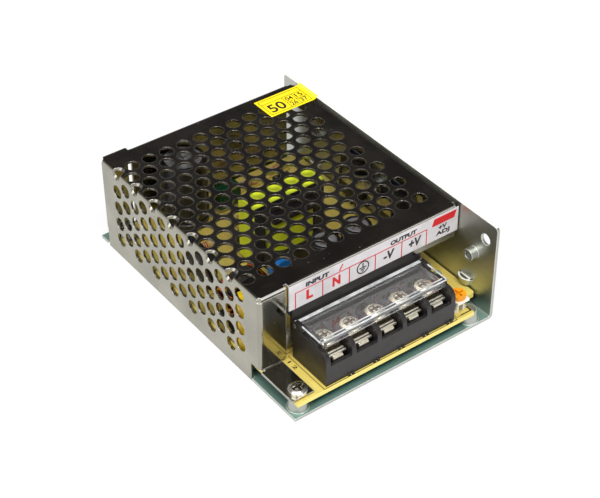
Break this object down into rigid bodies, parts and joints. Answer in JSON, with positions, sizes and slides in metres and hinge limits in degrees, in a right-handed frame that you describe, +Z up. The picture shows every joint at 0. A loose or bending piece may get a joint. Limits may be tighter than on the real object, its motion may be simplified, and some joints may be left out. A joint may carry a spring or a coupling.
{
  "type": "switching power supply",
  "caption": "Switching power supply in a sheet metal case with a perforated folded cover, and a screw terminal block under a clear hinged lid at its open front.",
  "frame": {"origin": "centre of the underside", "axes": "+Z up, -Y towards the terminal end, +X towards the tall side wall"},
  "size_m": [0.078, 0.11, 0.036],
  "materials": {
    "galvanised_sheet": "satin",
    "cover_sheet": "satin",
    "screw_steel": "polished",
    "plated_brass": "satin",
    "sheet_plastic": "matte",
    "board": "satin",
    "black_plastic": "satin",
    "clear_plastic": "polished",
    "white_plastic": "satin",
    "orange_plastic": "satin",
    "green_lens": "polished",
    "ceramic_tube": "matte",
    "yellow_case": "satin",
    "green_lacquer": "satin",
    "ferrite": "matte",
    "copper_wire": "polished",
    "capacitor_sleeve": "satin",
    "tape": "satin",
    "blue_lacquer": "satin",
    "epoxy": "matte",
    "silicone": "matte",
    "spring_steel": "satin",
    "resistor_lacquer": "satin"
  },
  "bodies": {
    "housing": {"chassis": "galvanised_sheet", "cover": "cover_sheet", "tab_screws": "screw_steel", "cover_side_screws": "screw_steel", "insulating_sheet": "sheet_plastic", "circuit_board": "board", "terminal_block": "black_plastic", "terminal_contacts": "plated_brass", "trimmer_body": "white_plastic", "indicator_led": "green_lens", "mains_fuse": "ceramic_tube", "film_capacitor": "yellow_case", "thermistor": "green_lacquer", "choke_core": "ferrite", "choke_windings": "copper_wire", "bridge_rectifier": "epoxy", "bulk_capacitor": "capacitor_sleeve", "transformer_core": "ferrite", "transformer_bobbin": "black_plastic", "transformer_winding": "tape", "transformer_tape": "tape", "power_transistor": "epoxy", "output_rectifier": "epoxy", "thermal_pads": "silicone", "device_clip": "spring_steel", "clip_screw": "screw_steel", "output_capacitors": "capacitor_sleeve", "output_choke": "epoxy", "safety_capacitors": "blue_lacquer", "snubber_capacitor": "green_lacquer", "control_chip": "epoxy", "optocoupler": "white_plastic", "resistors": "resistor_lacquer"},
    "lid": {"terminal_lid": "clear_plastic"},
    "trimmer": {"trimmer_knob": "orange_plastic"},
    "clamp_1": {"clamp_plate_1": "plated_brass"},
    "screw_1": {"terminal_screw_1": "screw_steel"},
    "clamp_2": {"clamp_plate_2": "plated_brass"},
    "screw_2": {"terminal_screw_2": "screw_steel"},
    "clamp_3": {"clamp_plate_3": "plated_brass"},
    "screw_3": {"terminal_screw_3": "screw_steel"},
    "clamp_4": {"clamp_plate_4": "plated_brass"},
    "screw_4": {"terminal_screw_4": "screw_steel"},
    "clamp_5": {"clamp_plate_5": "plated_brass"},
    "screw_5": {"terminal_screw_5": "screw_steel"}
  },
  "joints": [
    {"name": "lid_hinge", "type": "hinge", "parent": "housing", "child": "lid", "pos_m": [-0.0017, -0.03847, 0.0195], "axis": [-1, 0, 0], "range_deg": [0, 75]},
    {"name": "trimmer_turn", "type": "hinge", "parent": "housing", "child": "trimmer", "pos_m": [0.0277, -0.0505, 0.0114], "axis": [0, 0, 1], "range_deg": [-130, 130]},
    {"name": "clamp_1_lift", "type": "slide", "parent": "housing", "child": "clamp_1", "axis": [0, 0, 1], "range_m": [0, 0.0012]},
    {"name": "screw_1_turn", "type": "hinge", "parent": "clamp_1", "child": "screw_1", "pos_m": [-0.0211, -0.0454, 0.0152], "axis": [0, 0, 1], "range_deg": [0, 864]},
    {"name": "clamp_2_lift", "type": "slide", "parent": "housing", "child": "clamp_2", "axis": [0, 0, 1], "range_m": [0, 0.0012]},
    {"name": "screw_2_turn", "type": "hinge", "parent": "clamp_2", "child": "screw_2", "pos_m": [-0.0114, -0.0454, 0.0152], "axis": [0, 0, 1], "range_deg": [0, 864]},
    {"name": "clamp_3_lift", "type": "slide", "parent": "housing", "child": "clamp_3", "axis": [0, 0, 1], "range_m": [0, 0.0012]},
    {"name": "screw_3_turn", "type": "hinge", "parent": "clamp_3", "child": "screw_3", "pos_m": [-0.0017, -0.0454, 0.0152], "axis": [0, 0, 1], "range_deg": [0, 864]},
    {"name": "clamp_4_lift", "type": "slide", "parent": "housing", "child": "clamp_4", "axis": [0, 0, 1], "range_m": [0, 0.0012]},
    {"name": "screw_4_turn", "type": "hinge", "parent": "clamp_4", "child": "screw_4", "pos_m": [0.008, -0.0454, 0.0152], "axis": [0, 0, 1], "range_deg": [0, 864]},
    {"name": "clamp_5_lift", "type": "slide", "parent": "housing", "child": "clamp_5", "axis": [0, 0, 1], "range_m": [0, 0.0012]},
    {"name": "screw_5_turn", "type": "hinge", "parent": "clamp_5", "child": "screw_5", "pos_m": [0.0177, -0.0454, 0.0152], "axis": [0, 0, 1], "range_deg": [0, 864]}
  ],
  "couplings": [
    {"joint": "screw_1_turn", "follows": "clamp_1_lift", "rad_per_m": 12566},
    {"joint": "screw_2_turn", "follows": "clamp_2_lift", "rad_per_m": 12566},
    {"joint": "screw_3_turn", "follows": "clamp_3_lift", "rad_per_m": 12566},
    {"joint": "screw_4_turn", "follows": "clamp_4_lift", "rad_per_m": 12566},
    {"joint": "screw_5_turn", "follows": "clamp_5_lift", "rad_per_m": 12566}
  ]
}
